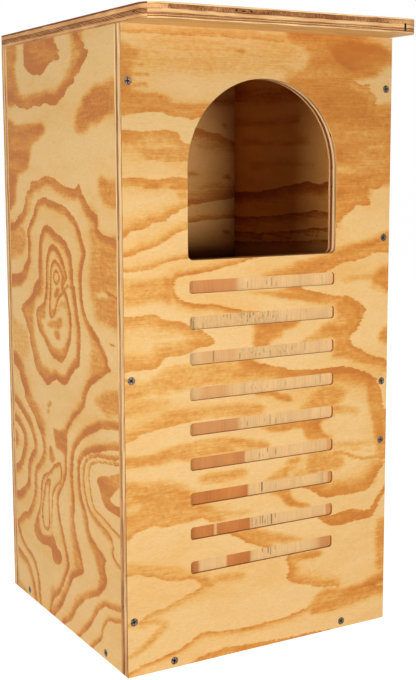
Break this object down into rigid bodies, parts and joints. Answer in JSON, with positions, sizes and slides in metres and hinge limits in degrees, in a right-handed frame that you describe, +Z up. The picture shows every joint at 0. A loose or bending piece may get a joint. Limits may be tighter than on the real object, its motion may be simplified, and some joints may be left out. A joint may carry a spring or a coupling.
{
  "type": "owl nest box",
  "caption": "Tall plywood owl nest box with an arched entrance over a ladder of shallow toe grooves, a flat roof that overhangs the front and a clean-out door that swings out at the bottom.",
  "frame": {"origin": "centre of the base, on the underside of the floor", "axes": "+Z up, -Y out of the entrance, +X towards the clean-out door"},
  "size_m": [0.3253, 0.368, 0.6545],
  "materials": {
    "plywood": "sanded pine plywood with strong flame grain, clear sealed",
    "screw_steel": "grey coated exterior wood screw",
    "catch_steel": "zinc plated"
  },
  "bodies": {
    "box": {"front_panel": "plywood", "back_panel": "plywood", "left_side_panel": "plywood", "right_side_panel": "plywood", "floor_panel": "plywood", "roof_panel": "plywood", "front_left_edge_screws": "screw_steel", "front_right_edge_screws": "screw_steel", "front_floor_screws": "screw_steel", "left_floor_screws": "screw_steel", "door_pivot_screw_front": "screw_steel", "door_pivot_screw_back": "screw_steel", "back_left_edge_screws": "screw_steel", "back_right_edge_screws": "screw_steel", "back_floor_screws": "screw_steel", "roof_front_screws": "screw_steel", "roof_back_screws": "screw_steel", "roof_left_screws": "screw_steel", "roof_right_screws": "screw_steel", "turn_button_washer": "catch_steel", "turn_button_screw": "screw_steel"},
    "door": {"cleanout_door": "plywood"},
    "button": {"turn_button": "catch_steel"}
  },
  "joints": [
    {"name": "door_hinge", "type": "hinge", "parent": "box", "child": "door", "pos_m": [0.15225, 0, 0.206], "axis": [0, -1, 0], "range_deg": [0, 110]},
    {"name": "button_turn", "type": "hinge", "parent": "box", "child": "button", "pos_m": [0.16185, 0.15025, 0.078], "axis": [-1, 0, 0], "range_deg": [0, 90]}
  ]
}
